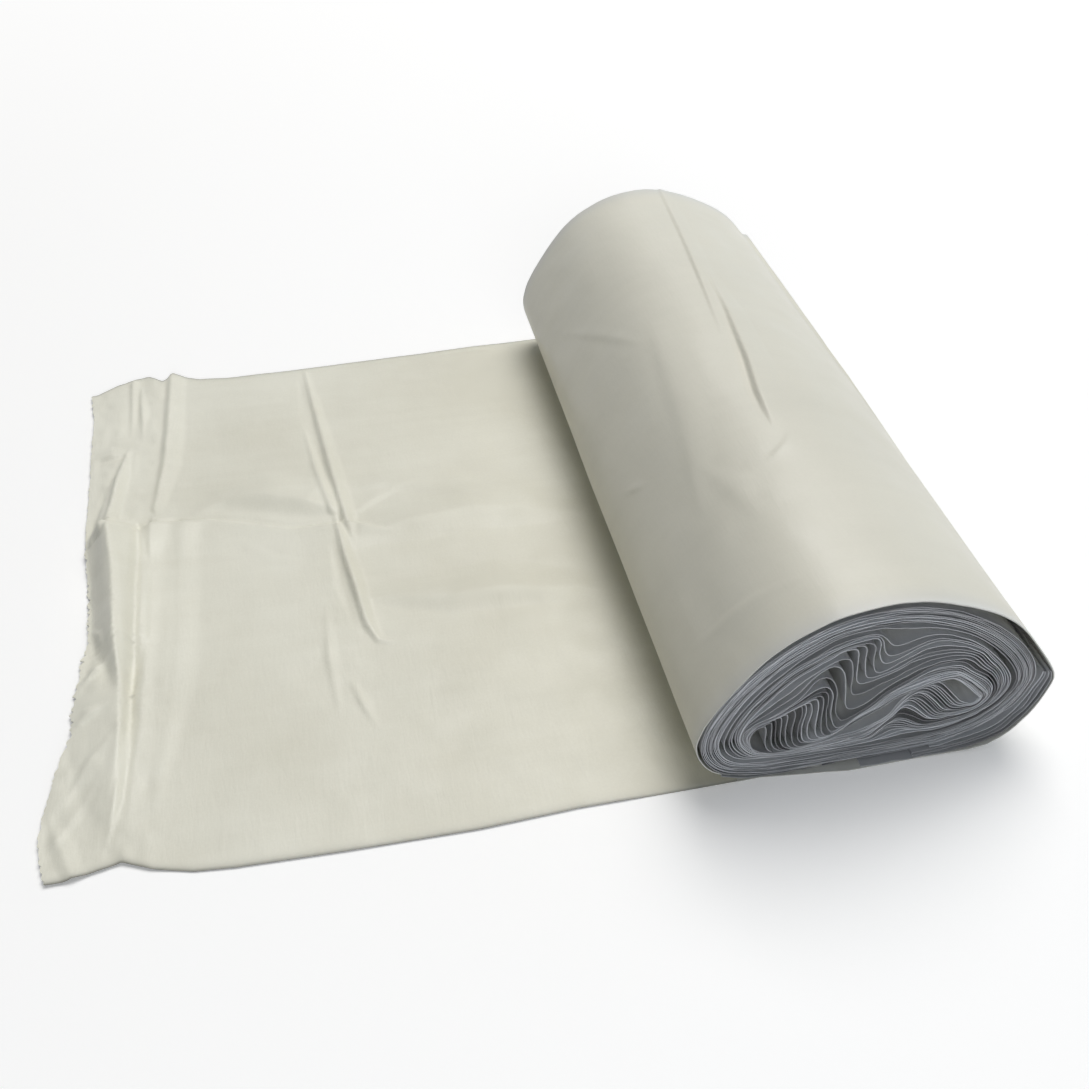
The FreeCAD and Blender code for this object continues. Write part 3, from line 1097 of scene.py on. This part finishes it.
@dataclass(frozen=True)
class Studio:
    """Plain room: a pale floor that keeps the shadow, and faint light from all round.

    Attributes:
        floor_side: side of the floor, metres.
        bounce: how much light the floor throws back on the object.
        paleness: how pale the floor is where it is seen.
        glow: light added to the floor where it is seen.
        fade: distances between which the seen floor turns white, metres.
        ambient: strength of the room's light on the object.
        cool: colour of that light.
    """

    floor_side: float = 8.0
    bounce: float = 0.72
    paleness: float = 0.97
    glow: float = 0.2
    fade: tuple[float, float] = (0.6, 1.4)
    ambient: float = 0.08
    cool: Colour = (0.88, 0.95, 1.0)

    def lay_floor(self) -> None:
        """Lay the floor, which reads as white to the camera far from the object."""
        bpy.ops.mesh.primitive_plane_add(size=self.floor_side, location=(0.0, 0.0, 0.0))
        floor = bpy.context.object
        floor.name = "floor"
        material = bpy.data.materials.new("floor")
        material.use_nodes = True
        graph = Graph(material.node_tree)
        material.node_tree.nodes.clear()
        _, seen = light_path(graph)
        colour = graph.blend(seen, (*[self.bounce] * 3, 1.0), (*[self.paleness] * 3, 1.0))
        diffuse = graph.add("ShaderNodeBsdfDiffuse", {"Color": colour})
        glow = graph.add("ShaderNodeEmission", {
            "Color": (*WHITE, 1.0), "Strength": graph.math("MULTIPLY", seen, self.glow)})
        near = graph.add("ShaderNodeAddShader", {0: diffuse.outputs[0], 1: glow.outputs[0]})
        place = graph.add("ShaderNodeTexCoord").outputs["Object"]
        reach = graph.add("ShaderNodeVectorMath", {0: place}, operation="LENGTH").outputs["Value"]
        far = graph.math("MULTIPLY", seen, graph.span(reach, *self.fade))
        backdrop = graph.add("ShaderNodeEmission", {"Color": (*WHITE, 1.0), "Strength": 1.0})
        surface = graph.add("ShaderNodeMixShader",
                            {0: far, 1: near.outputs[0], 2: backdrop.outputs[0]})
        output = graph.add("ShaderNodeOutputMaterial")
        graph.feed(output.inputs["Surface"], surface.outputs[0])
        floor.data.materials.append(material)
        floor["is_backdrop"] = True

    def fill_room(self) -> None:
        """Fill the room with a soft cool light, white where the camera sees it."""
        world = bpy.data.worlds.new("room")
        bpy.context.scene.world = world
        world.use_nodes = True
        graph = Graph(world.node_tree)
        world.node_tree.nodes.clear()
        rays, seen = light_path(graph)
        colour = graph.blend(rays.outputs["Is Camera Ray"], (*self.cool, 1.0), (*WHITE, 1.0))
        strength = graph.span(seen, 0.0, 1.0, self.ambient, 1.0)
        background = graph.add("ShaderNodeBackground", {"Color": colour, "Strength": strength})
        output = graph.add("ShaderNodeOutputWorld")
        graph.feed(output.inputs["Surface"], background.outputs[0])


@dataclass(frozen=True)
class Lamp:
    """A soft rectangular lamp.

    Attributes:
        name: its name.
        place: where it hangs, metres.
        target: what it faces, metres.
        size: its side, metres.
        power: watts.
        colour: its colour.
    """

    name: str
    place: tuple[float, float, float]
    target: tuple[float, float, float]
    size: float
    power: float
    colour: Colour

    def hang(self) -> None:
        """Add the lamp to the scene."""
        data = bpy.data.lights.new(self.name, "AREA")
        data.shape = "SQUARE"
        data.size = self.size
        data.energy = self.power
        data.color = self.colour
        lamp = bpy.data.objects.new(self.name, data)
        lamp.location = self.place
        aim = Vector(self.target) - Vector(self.place)
        lamp.rotation_euler = aim.to_track_quat("-Z", "Y").to_euler()
        bpy.context.collection.objects.link(lamp)


# Almost overhead and behind, a faint cool window on the right, and a fill for the roll's end
LAMPS = (
    Lamp("key", (0.84, 1.35, 3.25), (-0.1, 0.0, 0.0), 2.7, 109.0, (1.0, 0.985, 0.965)),
    Lamp("window", (1.3, 0.2, 0.6), (0.0, 0.0, 0.03), 0.9, 1.2, (0.50, 0.74, 1.0)),
    Lamp("fill", (-0.1, -1.4, 0.5), (0.0, -0.16, 0.04), 0.9, 5.6, (0.92, 0.96, 1.0)),
)


@dataclass(frozen=True)
class Viewpoint:
    """Where the photograph was taken from.

    Attributes:
        place: where the camera stands, metres.
        direction: what it looks along.
        focal_length: millimetres.
        film_width: millimetres.
        nearest: nearest distance that it sees, metres.
    """

    place: tuple[float, float, float] = (-0.179, -0.420, 0.376)
    direction: tuple[float, float, float] = (0.1552, 0.7251, -0.6709)
    focal_length: float = 38.55
    film_width: float = 36.0
    nearest: float = 0.01

    def set_up(self) -> None:
        """Add the camera and make it the scene's."""
        data = bpy.data.cameras.new("camera")
        data.sensor_width = self.film_width
        data.lens = self.focal_length
        data.clip_start = self.nearest
        camera = bpy.data.objects.new("camera", data)
        camera.location = self.place
        aim = Vector(self.direction)
        camera.rotation_euler = aim.to_track_quat("-Z", "Y").to_euler()
        bpy.context.collection.objects.link(camera)
        bpy.context.scene.camera = camera


# Share of the buckle's notch at the landmarks over the upper buckle and under the lower one
NOTCH_SHARES = {11: 0.5, 12: 1.0, 13: 0.3, 1: 0.2, 2: 0.3}


def moved_inwards(outline: Points, distance: float, notch: float = 0.0) -> Points:
    """Closed outline moved square to itself, and further where the buckles pull it in.

    Args:
        outline: closed loop of the twenty landmarks.
        distance: how far every landmark moves.
        notch: how much further the landmark over the upper buckle moves.

    Returns:
        The moved outline.
    """
    loop = np.array(outline, float)
    along = np.roll(loop, -1, axis=0) - np.roll(loop, 1, axis=0)
    along /= np.linalg.norm(along, axis=1)[:, None]
    reach = np.full(len(loop), distance)
    for landmark, share in NOTCH_SHARES.items():
        reach[landmark] += share * notch
    return loop + np.stack([-along[:, 1], along[:, 0]], axis=1) * reach[:, None]


@dataclass(frozen=True)
class OuterTurn:
    """The loose outermost turn, which shows as the smooth skin of the roll.

    Attributes:
        path: points of its section.
        columns: (distance along the web, spacing) points of the grid.
        stand_out: (distance along the web, how far its near edge stands out) points.
        folds: creases, each with (x, y, height) points on the upper side of the roll.
        web: thickness of the folded plies.
        rows: samples along the roll.
        samples: samples of the section's spline from one point to the next.
        dents: soft relief.
        free_from: height at which the relief sets in, and over what reach.
        end_dents: relief that is strong only at the roll's ends.
        end_reach: how far it reaches along the roll.
        edges: raggedness of the cut edges along the web.
    """

    path: Points
    columns: Points
    stand_out: Points
    folds: tuple[Fold, ...]
    web: float = 0.5
    rows: int = 236
    samples: int = 16
    dents: tuple[Ripple, ...] = (Ripple(0.30, (34.0, 62.0), 41), Ripple(0.10, (9.0, 27.0), 42))
    free_from: tuple[float, float] = (5.0, 12.0)
    end_dents: Ripple = Ripple(0.25, (17.0, 40.0), 43)
    end_reach: float = 9.0
    edges: tuple[Ripple, ...] = (Ripple(0.5, (26.0, 9.0), 44), Ripple(0.15, (5.0, 9.0), 45))

    def section(self) -> tuple[np.ndarray, np.ndarray]:
        """Sample the section at its graded places.

        Returns:
            The line and the distance along it of each sample.
        """
        smooth = natural_spline(np.array(self.path, float), self.samples)
        reach = length_along(smooth)
        places = graded_places(self.columns)
        places *= reach[-1] / places[-1]
        line = np.stack([np.interp(places, reach, smooth[:, k]) for k in (0, 1)], axis=1)
        return line, places

    def _laid_out(self, line: np.ndarray, places: np.ndarray, fold: Fold) -> Fold:
        """Restate a fold from places over the roll to distances along the web.

        Args:
            line: the section.
            places: distance along it of each sample.
            fold: a fold whose first coordinate is x on the upper side.

        Returns:
            The same fold with distances along the web for its first coordinate.
        """
        first, last = int(np.argmax(line[:, 0])), int(np.argmin(line[:, 0]))
        x = line[first:last + 1, 0][::-1]
        along = places[first:last + 1][::-1]
        path = tuple((float(np.interp(a, x, along)), b, h) for a, b, h in fold.path)
        return replace(fold, path=path)

    def ply(self) -> Ply:
        """Draw the section out along the roll, and lift it by its creases and its dents.

        Each point moves square to the section by the sum of the folds and of the noises, which
        die away towards the floor.

        Returns:
            The closed sheet.
        """
        line, places = self.section()
        out = -normals_of(line)
        y = np.linspace(-HALF_WIDTH, HALF_WIDTH, self.rows)[None, :]
        s = places[:, None]
        rise = sum(self._laid_out(line, places, fold).height(s + 0 * y, y + 0 * s)
                   for fold in self.folds)
        free = smooth_step((line[:, 1] - self.free_from[0]) / self.free_from[1])[:, None]
        ends = np.exp(-(HALF_WIDTH - np.abs(y)) / self.end_reach)
        rise = rise + free * sum(dent.over(s, y) for dent in self.dents)
        rise = rise + free * ends * self.end_dents.over(s, y)
        ragged = sum(edge.along(s) for edge in self.edges)
        reach = np.interp(places, *np.array(self.stand_out, float).T)[:, None]
        along = y + ragged * (y / HALF_WIDTH) ** END_POWER
        along = along - reach * smooth_step(-y / HALF_WIDTH) ** 4
        faces = []
        for half in (0.5 * self.web, -0.5 * self.web):
            lift = rise + half
            faces.append(np.stack([line[:, None, 0] + out[:, None, 0] * lift, along + 0 * lift,
                                   line[:, None, 1] + out[:, None, 1] * lift], axis=2))
        plan = np.stack(np.broadcast_arrays(s, along), axis=2)
        return Ply(faces[0], faces[1], plan, ends + 0.0 * s)

    def build(self, finish: bpy.types.Material) -> bpy.types.Object:
        """Make the turn and dress it.

        Args:
            finish: its material.

        Returns:
            The object.
        """
        turn = self.ply().build(PieceName.OUTER_TURN.value)
        dress(turn, finish)
        return turn


@dataclass(frozen=True)
class LoosePlies:
    """The plies inside the loose turn, laid forth and back where it stands off the roll.

    Attributes:
        path: points of the loose turn's section.
        gaps: (distance along the turn, how far apart the plies lie there) points.
        runs: where each ply starts and ends along the turn.
        stand_out: (distance along the turn, how far its near edge stands out) points.
        shorter: share of that by which they stand out.
        step: how much further inside the roll each ply ends than the one before it.
        first_gap: extra share of a gap below the first ply.
        web: thickness of a ply.
        samples: samples of each ply along the turn.
        rows: places along the roll.
        edges: raggedness of the cut edges.
        tone_step: turns by which the tones of two plies lie apart.
    """

    path: Points
    gaps: Points
    runs: Points
    stand_out: Points
    shorter: float = 0.88
    step: float = 0.9
    first_gap: float = 0.35
    web: float = 0.45
    samples: int = 90
    rows: tuple[float, ...] = (-165, -150, -110, 110, 150, 165)
    edges: Ripple = Ripple(0.3, (7.0, 5.0), 61)
    tone_step: float = 1.3

    def ply(self) -> Ply:
        """Lay out the plies as one ribbon.

        Each run is the section of the loose turn moved inwards by its rank times a gap, and ends
        a little further inside the roll than the run before it.

        Returns:
            The closed ribbon.
        """
        section = natural_spline(np.array(self.path, float), 16)
        reach, inwards = length_along(section), normals_of(section)
        places = np.concatenate([np.linspace(*ends, self.samples) for ends in self.runs])
        rank = np.repeat(np.arange(1, len(self.runs) + 1), self.samples)
        gap = np.interp(places, *np.array(self.gaps, float).T) * (rank + self.first_gap)
        line = np.stack([np.interp(places, reach, section[:, k])
                         + np.interp(places, reach, inwards[:, k]) * gap for k in (0, 1)], axis=1)
        edge = -self.shorter * np.interp(places, *np.array(self.stand_out, float).T)
        edge = edge + self.step * (rank - 1) + self.edges.over(places, rank * 5.0)
        return ribbon(line, np.array(self.rows, float), self.web, edge, self.tone_step * rank)

    def build(self, finish: bpy.types.Material) -> bpy.types.Object:
        """Make the plies and dress them.

        Args:
            finish: their material.

        Returns:
            The object.
        """
        plies = self.ply().build(PieceName.LOOSE_PLIES.value)
        dress(plies, finish)
        return plies


def leading_bag() -> LeadingBag:
    """Describe the bag that lies on the floor.

    Returns:
        The bag.
    """
    return LeadingBag(
        torn_edge=((-165, -308), (-155, -310), (-145, -312), (-130, -311), (-110, -308),
                   (-95, -304), (-70, -304), (-50, -302), (-30, -301), (0, -304), (30, -307),
                   (60, -308), (100, -309), (140, -310), (165, -313)),
        near_edge=((-45, -165), (-60, -165), (-110, -164.5), (-150, -166), (-200, -165),
                   (-240, -163.5), (-255, -162), (-270, -158), (-281, -153), (-300, -157),
                   (-315, -157)),
        far_edge=((-45, 166), (-60, 166), (-200, 162), (-240, 162), (-255, 164), (-269, 170),
                  (-275, 165), (-283, 171), (-290, 170), (-300, 165), (-310, 158), (-315, 157)),
        columns=((-45, 3.0), (-165, 3.0), (-175, 1.2), (-206, 1.2), (-214, 3.0), (-250, 3.0),
                 (-258, 1.0), (-313, 1.0)),
        folds=(
            Fold(((-270, 170, 2.0), (-271, 110, 2.4), (-272, 86, 2.4), (-276, 50, 1.0)), 9, 3),
            Fold(((-291, 165, 1.8), (-290, 115, 0.2)), 4, 2),
            Fold(((-287, 160, 0.4), (-285, 136, 1.7), (-284, 112, 0.1)), 4, 2),
            Fold(((-308, 96, 0.4), (-298, 97.5, 1.8), (-288, 99, 0.2)), 10, 2.5),
            Fold(((-290, 104, 0.2), (-294, 78, 3.2), (-299, 31, 4.2)), 6, 4),
            Fold(((-298, 76, 0.2), (-301, 50, 1.6), (-304, 28, 1.8)), 3, 2),
            Fold(((-297, 31, -0.8), (-293, 37, -0.8), (-278, 40, -0.8), (-250, 39, -0.8),
                  (-235, 35, -0.6), (-210, 24, -0.5), (-187, 23, -1.0)), 2, 2),
            Fold(((-258, 43, 0.1), (-242, 50, 1.8), (-222, 49, 3.6), (-202, 40, 3.6),
                  (-188, 31, 0.8)), 20, 11, 0.4),
            Fold(((-294, 29, 1.6), (-278, 36, 1.8), (-250, 36, 1.6), (-210, 20, 1.4),
                  (-189, 19, 2.0)), 3, 24, 0.3),
            Fold(((-295, 31, 10.5), (-291, 0, 11.5), (-288, -40, 9.6), (-286, -58, 3.0),
                  (-285, -70, 0.1)), 16, 12, 0.4),
            Fold(((-289, -20, 0.1), (-288, -42, 1.2), (-285, -72, 4.4), (-284, -100, 3.8),
                  (-284, -124, 2.2), (-287, -146, 0.3)), 4, 22, 0.1),
            Fold(((-291, 22, 0.1), (-287.5, 0, 0.6), (-285, -40, 0.7), (-283, -84, 0.1)), 1.8, 2),
            Fold(((-309, -128, 0.3), (-304, -142, 1.3), (-298, -157, 1.0)), 6, 4),
            Fold(((-302, -118, 0.2), (-295, -104, 1.0), (-288, -94, 0.2)), 3, 6),
            Fold(((-309, -146, 0.2), (-299, -128, 0.8), (-292, -116, 0.1)), 6, 4),
            Fold(((-302, -62, 0.6), (-296, -55, 2.2), (-289, -50, 0.6)), 4, 2),
            Fold(((-303, -86, 0.4), (-297, -80, 1.6), (-290, -77, 0.3)), 5, 2),
            Fold(((-300, -30, 0.2), (-296, -36, 1.4), (-293, -46, 0.2)), 2, 3),
            Fold(((-283, 38, -1.8), (-282, 0, -2.2), (-281, -50, -2.0), (-282, -90, -1.3),
                  (-285, -122, -0.2)), 2.6, 2.6),
            Fold(((-277, 36, 1.8), (-276, -30, 2.0), (-277, -90, 1.5), (-280, -130, 0.2)), 12, 4),
            Fold(((-186, 23, 0.3), (-169, 36, 0.9), (-146, 48, 0.1)), 7, 4),
            Fold(((-262, 33, 1.0), (-264, -60, 1.2), (-270, -130, 0.2)), 12, 9, 1.0),
            Fold(((-196, 158, 0.7), (-192, 110, 2.2), (-188, 65, 2.9), (-184, 25, 2.8),
                  (-182, 8, 0.3)), 5.5, 2.2),
            Fold(((-199, 150, -0.2), (-196, 110, -0.9), (-192, 60, -0.7), (-190, 40, -0.1)),
                 2, 5),
            Fold(((-200, 110, 0.1), (-196, 70, 1.2), (-190, 30, 1.5)), 4, 2),
            Fold(((-189, 26, 0.4), (-187, 0, 3.0), (-184, -22, 3.4), (-181, -50, 2.6),
                  (-177, -61, 1.2), (-168, -64, 0.2)), 5.5, 2.2),
            Fold(((-192, 8, -0.1), (-189, -22, -0.8), (-186, -50, -0.1)), 2, 4),
            Fold(((-198, -34, 0.1), (-199, -66, 0.8), (-197, -100, 0.1)), 5, 2),
            Fold(((-191, -80, 0.1), (-187, -95, 0.9), (-182, -110, 0.1)), 4, 2),
            Fold(((-187, 22, 0.4), (-176, 15, 1.6), (-164, 10, 0.2)), 3, 7),
            Fold(((-182, 7, 0.5), (-166, 12, 2.0), (-152, 15, 3.0), (-123, 18, 3.2),
                  (-101, 14, 2.6), (-80, 8, 0.9)), 30, 16, 0.5),
            Fold(((-180, -33, 0.3), (-160, -37, 1.4), (-139, -41, 2.6), (-117, -41, 3.0),
                  (-88, -47, 1.8)), 22, 12, 0.5),
            Fold(((-184, 49, 0.2), (-156, 47, 1.2), (-127, 35, 1.2), (-104, 24, 0.1)),
                 14, 7, 0.4),
            Fold(((-182, -84, 0.1), (-150, -85, 0.7), (-80, -85, 0.2)), 24, 28, 1.0),
            Fold(((-236, 20, 0.1), (-222, 4, 0.5), (-208, -2, 0.1)), 2, 7),
            Fold(((-262, 159, -0.5), (-200, 158, -0.5), (-60, 161, -0.5)), 2, 2),
        ),
    )


def outer_turn() -> OuterTurn:
    """Describe the loose outermost turn.

    Returns:
        The turn.
    """
    return OuterTurn(
        path=LOOSE_TURN,
        columns=((0, 9.0), (100, 8.0), (112, 3.4), (152, 3.0), (160, 0.9), (176, 0.9),
                 (184, 2.8), (214, 2.4), (222, 0.8), (256, 0.8), (268, 1.8), (350, 1.8),
                 (362, 6.0), (405, 6.0)),
        stand_out=LOOSE_STAND_OUT,
        folds=(
            Fold(((11, 165, 0.5), (10.6, 154, 0.8), (7.5, 113, 1.1), (3.7, 72, 1.2),
                  (0.3, 41, 0.7), (-3.3, 11, 0.1)), 1.2, 9),
            Fold(((8.6, 78, 0.1), (7.6, 52, 0.9), (6.3, 33, 1.5), (1.7, -8, 2.0),
                  (-2.5, -33, 1.8), (-4.6, -58, 0.2)), 1.7, 12),
            Fold(((5.0, 33, -0.1), (0.0, -8, -0.8), (-4.4, -33, -0.7), (-6.6, -55, -0.1)),
                 3.5, 1.2),
            Fold(((1.5, -62, 0.1), (-4, -70, 0.5), (-10, -75, 0.4), (-14, -76.5, 0.1)), 2.6, 5),
            Fold(((-29, 46, 0.1), (-31, 10, 0.6), (-34, -30, 0.8), (-38, -58, 0.6),
                  (-43, -84, 0.1)), 8, 14, 1.0),
            Fold(((-36, -64, 0.1), (-30, -84, 0.7), (-27, -104, 0.1)), 8, 10, 1.0),
            Fold(((61.5, 165, -0.9), (61.5, 60, -0.9), (63, 0, -0.4), (63, -45, -0.05)), 1.8, 1.4),
            Fold(((65, 165, 1.9), (65, 60, 1.8), (66, 0, 0.9), (66, -50, 0.1)), 2, 8),
            Fold(((-58.6, 92, 0.1), (-51, 69, 0.4), (-42, 45, 0.4), (-36.4, 31, 0.1)), 2, 6),
            Fold(((-60.3, -37, 0.1), (-57, -42, 0.5), (-53.6, -47, 0.1)), 1.5, 4),
            Fold(((-25.8, -141, 0.1), (-41, -138, 0.5), (-51.2, -136.5, 0.5),
                  (-58.9, -134, 0.1)), 2, 6),
        ),
    )


def winding() -> Winding:
    """Describe the wound turns inside the loose one.

    Returns:
        The winding.
    """
    outlines = {
        Level.TIGHT: moved_inwards(TIGHT_TURN, 0.5),
        Level.BAND_INSIDE: moved_inwards(TIGHT_TURN, 8.0),
        Level.UNDER_BAND: moved_inwards(TIGHT_TURN, 10.4, 4.0),
        Level.UPPER_FAN: UPPER_FAN_TURN,
        Level.UPPER_FAN_END: UPPER_FAN_END_TURN,
        Level.PALE_FOLD: PALE_FOLD_TURN,
        Level.LOWER_FAN: LOWER_FAN_TURN,
        Level.LOWER_FAN_HALF: LOWER_FAN_HALF_TURN,
        Level.INMOST: INMOST_TURN,
    }
    return Winding(loose=LOOSE_TURN[-4:], outlines=outlines)


def dress(made: bpy.types.Object, material: bpy.types.Material) -> None:
    """Give a piece its material and the body it rides, and let it stand for the roll.

    Args:
        made: the piece.
        material: its material.
    """
    made.data.materials.append(material)
    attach(made, "root")
    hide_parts("bag_roll")


def finishes() -> tuple[Film, Film, Film]:
    """Describe the finishes.

    Returns:
        Those of the flat bag, of the roll's skin and of the plies seen from their edges.
    """
    return (
        # The flat bag's drift paints the roll's shade on it as a deepening towards the roll
        Film("film_sheet", srgb(236, 234, 220), srgb(223, 220, 204), srgb(176, 175, 166),
             srgb(120, 118, 106), roughness=0.44, relief=0.5, drift=1.0, wound=False),
        # The skin and the plies paint shade and cool light at the roll's ends with their edge
        # colours
        Film("film_skin", srgb(229, 226, 212), srgb(221, 218, 204), srgb(224, 224, 219),
             srgb(212, 211, 204), roughness=0.38, relief=0.35),
        Film("film_plies", srgb(226, 226, 222), srgb(206, 206, 202), srgb(226, 228, 232),
             srgb(132, 131, 133), roughness=0.5, relief=0.3),
    )


def build_roll() -> None:
    """Build every piece of film and its finish, from the flat bag to the core."""
    groups = {tree.name: tree for tree in (film_tone_group(), film_relief_group(),
                                           ply_edge_group())}
    sheet, skin, plies = (film.build(groups) for film in finishes())
    leading_bag().build(sheet)
    outer_turn().build(skin)
    LoosePlies(LOOSE_TURN, LOOSE_PLY_GAPS, LOOSE_PLY_ENDS, LOOSE_STAND_OUT).build(plies)
    winding().build(plies)


def main() -> None:
    """Load the frame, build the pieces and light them."""
    logging.basicConfig(level=logging.INFO, format="%(name)s: %(message)s")
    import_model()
    studio = Studio()
    studio.lay_floor()
    build_roll()
    studio.fill_room()
    for lamp in LAMPS:
        lamp.hang()
    Viewpoint().set_up()
    bpy.context.scene.view_settings.view_transform = "Standard"
    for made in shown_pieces():
        LOG.info("%s: %d faces", made.name, len(made.data.polygons))


if __name__ == "__main__":
    main()
